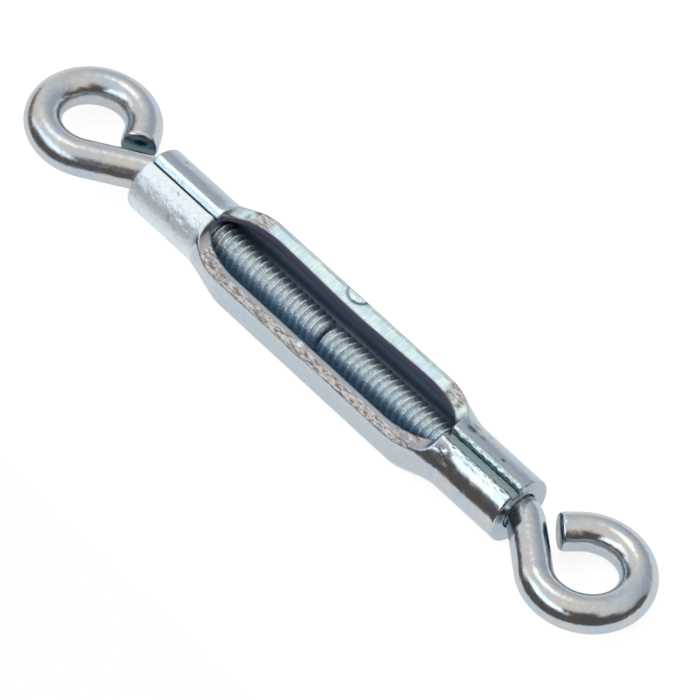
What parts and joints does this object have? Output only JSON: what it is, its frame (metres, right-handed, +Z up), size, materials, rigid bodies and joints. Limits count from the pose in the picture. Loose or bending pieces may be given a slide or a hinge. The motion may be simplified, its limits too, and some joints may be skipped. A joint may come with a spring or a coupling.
{
  "type": "rigging turnbuckle",
  "caption": "Small zinc-plated steel turnbuckle with an open frame and an eye bolt screwed into each end, for tensioning wire or rope.",
  "frame": {"origin": "middle of the frame, on the thread axis", "axes": "+X along the thread axis towards the left-hand eye bolt, +Y across the two legs, +Z up out of the window, through the sleeve seams"},
  "size_m": [0.1064, 0.017, 0.0092],
  "materials": {
    "frame_zinc": "bright zinc plating, clear blue passivate, slightly rippled from rolling",
    "bolt_zinc": "bright zinc plating over drawn wire"
  },
  "bodies": {
    "frame": {"frame": "frame_zinc"},
    "right_carriage": {"right_hand_shank_core": "bolt_zinc"},
    "left_carriage": {"left_hand_shank_core": "bolt_zinc"},
    "right_bolt": {"right_hand_eye_bolt": "bolt_zinc"},
    "left_bolt": {"left_hand_eye_bolt": "bolt_zinc"}
  },
  "joints": [
    {"name": "right_eye_feed", "type": "slide", "parent": "frame", "child": "right_carriage", "axis": [-1, 0, 0], "range_m": [0, 0.01693]},
    {"name": "right_eye_turn", "type": "hinge", "parent": "right_carriage", "child": "right_bolt", "pos_m": [-0.02, 0, 0], "axis": [-1, 0, 0], "range_deg": [0, 5760]},
    {"name": "left_eye_feed", "type": "slide", "parent": "frame", "child": "left_carriage", "axis": [1, 0, 0], "range_m": [0, 0.01693]},
    {"name": "left_eye_turn", "type": "hinge", "parent": "left_carriage", "child": "left_bolt", "pos_m": [0.02, 0, 0], "axis": [-1, 0, 0], "range_deg": [0, 5760]}
  ],
  "couplings": [
    {"joint": "right_eye_feed", "follows": "right_eye_turn", "m_per_rad": 0.00016844},
    {"joint": "left_eye_feed", "follows": "left_eye_turn", "m_per_rad": 0.00016844}
  ]
}
